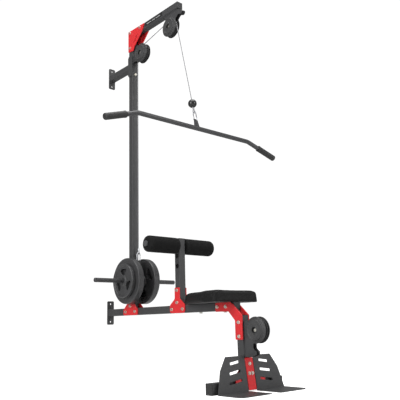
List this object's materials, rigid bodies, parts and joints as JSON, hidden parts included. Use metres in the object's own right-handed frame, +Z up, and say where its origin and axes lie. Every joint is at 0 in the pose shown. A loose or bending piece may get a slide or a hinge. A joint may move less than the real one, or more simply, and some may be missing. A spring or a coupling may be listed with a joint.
{
  "type": "lat pulldown machine",
  "caption": "Wall-braced lat pulldown: square-tube mast and arm, plate-loaded carriage on a cable over pulleys, wide angled bar, padded seat, foam thigh rollers and foot plates",
  "frame": {"origin": "on the floor, at the middle of the machine's width and depth", "axes": "+X to the right of someone who faces the wall, +Y toward the wall, +Z up; the user sits on the -Y side"},
  "size_m": [1.2008, 1.308, 2.138],
  "materials": {
    "charcoal_frame": "fine semi-matte charcoal powder coat",
    "red_brackets": "satin bright red powder coat",
    "zinc_bolts": "bright zinc plate",
    "black_plastic": "satin moulded dark grey nylon",
    "bearing_steel": "ground bearing steel",
    "plated_hooks": "polished zinc plate",
    "steel_cable": "clear-coated stranded steel wire",
    "bar_coating": "satin charcoal powder coat",
    "grip_rubber": "matt black ribbed rubber",
    "shoe_rubber": "matt black rubber",
    "weight_iron": "hammer-finish dark grey enamel over cast iron",
    "roller_foam": "black closed-cell foam",
    "seat_vinyl": "black upholstery vinyl with fine grain",
    "seat_ply": "black-stained plywood",
    "arm_decal": "black film panel with a plain pale stripe"
  },
  "bodies": {
    "frame": {"arm_panels": "arm_decal", "base_beam": "charcoal_frame", "carriage_buffer": "shoe_rubber", "cross_foot": "charcoal_frame", "cross_foot_shoes": "shoe_rubber", "elbow_plates": "red_brackets", "foot_link_bracket": "red_brackets", "foot_plate_bolts": "zinc_bolts", "foot_plates": "charcoal_frame", "frame_bolts": "zinc_bolts", "front_leg": "charcoal_frame", "front_pulley_bracket": "charcoal_frame", "low_pulley_bracket": "charcoal_frame", "mast": "charcoal_frame", "mast_base_plates": "red_brackets", "mast_front_bolts": "zinc_bolts", "pipe_caps": "black_plastic", "post_base_plates": "red_brackets", "pulley_axles": "zinc_bolts", "pulley_cable": "steel_cable", "pulley_covers": "black_plastic", "rear_pulley_bracket": "charcoal_frame", "roller_pipe": "bar_coating", "roller_post": "charcoal_frame", "seat_board": "seat_ply", "seat_bolts": "zinc_bolts", "seat_pad": "seat_vinyl", "strut_cheek_plates": "charcoal_frame", "top_arm": "charcoal_frame", "top_gusset_plates": "red_brackets", "tube_end_caps": "black_plastic", "wall_plates": "charcoal_frame", "wall_strut": "charcoal_frame"},
    "rear_pulley": {"rear_pulley_wheel": "black_plastic", "rear_pulley_bearing": "bearing_steel"},
    "front_pulley": {"front_pulley_wheel": "black_plastic", "front_pulley_bearing": "bearing_steel"},
    "low_pulley": {"low_pulley_wheel": "black_plastic", "low_pulley_bearing": "bearing_steel"},
    "carriage": {"carriage_sleeve": "charcoal_frame", "carriage_liners": "black_plastic", "carriage_cheeks": "charcoal_frame", "carriage_lug": "charcoal_frame", "weight_pegs": "bar_coating", "large_weight_plates": "weight_iron", "small_weight_plates": "weight_iron", "carriage_snap_hook": "plated_hooks", "carriage_cable_eye": "plated_hooks", "carriage_cable": "steel_cable"},
    "carriage_gate": {"carriage_hook_gate": "plated_hooks"},
    "roller_left": {"left_roller": "roller_foam"},
    "roller_right": {"right_roller": "roller_foam"},
    "cable_end": {"stopper_ball": "black_plastic", "bar_cable_eye": "plated_hooks", "bar_cable": "steel_cable"},
    "bar_hook": {"bar_snap_hook": "plated_hooks"},
    "bar_gate": {"bar_hook_gate": "plated_hooks"},
    "pull_bar": {"lat_bar": "bar_coating", "bar_grips": "grip_rubber", "bar_eye_plate": "bar_coating"}
  },
  "joints": [
    {"name": "carriage_lift", "type": "slide", "parent": "frame", "child": "carriage", "axis": [0, 0, 1], "range_m": [0, 0.84], "deforming": ["carriage_cable"]},
    {"name": "bar_pull", "type": "slide", "parent": "frame", "child": "cable_end", "axis": [0, -0.225, -0.9744], "range_m": [0, 0.84], "deforming": ["bar_cable"]},
    {"name": "rear_pulley_spin", "type": "hinge", "parent": "frame", "child": "rear_pulley", "pos_m": [0, 0.309, 1.957], "axis": [1, 0, 0], "range_deg": [0, 963]},
    {"name": "front_pulley_spin", "type": "hinge", "parent": "frame", "child": "front_pulley", "pos_m": [0, 0.026, 2.013], "axis": [1, 0, 0], "range_deg": [0, 963]},
    {"name": "low_pulley_spin", "type": "hinge", "parent": "frame", "child": "low_pulley", "pos_m": [0, -0.558, 0.269], "axis": [1, 0, 0], "continuous": true},
    {"name": "left_roller_spin", "type": "hinge", "parent": "frame", "child": "roller_left", "pos_m": [-0.122, -0.017, 0.712], "axis": [1, 0, 0], "continuous": true},
    {"name": "right_roller_spin", "type": "hinge", "parent": "frame", "child": "roller_right", "pos_m": [0.122, -0.017, 0.712], "axis": [1, 0, 0], "continuous": true},
    {"name": "bar_swivel", "type": "hinge", "parent": "cable_end", "child": "bar_hook", "pos_m": [0, -0.16567, 1.40504], "axis": [0, -0.225, -0.9744], "range_deg": [-25, 25]},
    {"name": "bar_tilt", "type": "hinge", "parent": "bar_hook", "child": "pull_bar", "pos_m": [0, -0.17231, 1.37629], "axis": [0, 0.9744, -0.225], "range_deg": [-10, 10]},
    {"name": "carriage_hook_gate_open", "type": "hinge", "parent": "carriage", "child": "carriage_gate", "pos_m": [0.01, 0.359, 0.6735], "axis": [0, -1, 0], "range_deg": [0, 25], "stiffness_Nm_per_rad": 0.05, "springref_deg": -5.73},
    {"name": "bar_hook_gate_open", "type": "hinge", "parent": "bar_hook", "child": "bar_gate", "pos_m": [0, -0.15908, 1.38915], "axis": [1, 0, 0], "range_deg": [0, 25], "stiffness_Nm_per_rad": 0.05, "springref_deg": -5.73}
  ],
  "couplings": [
    {"joint": "bar_pull", "follows": "carriage_lift", "ratio": 1},
    {"joint": "rear_pulley_spin", "follows": "carriage_lift", "rad_per_m": 20},
    {"joint": "front_pulley_spin", "follows": "carriage_lift", "rad_per_m": 20}
  ]
}
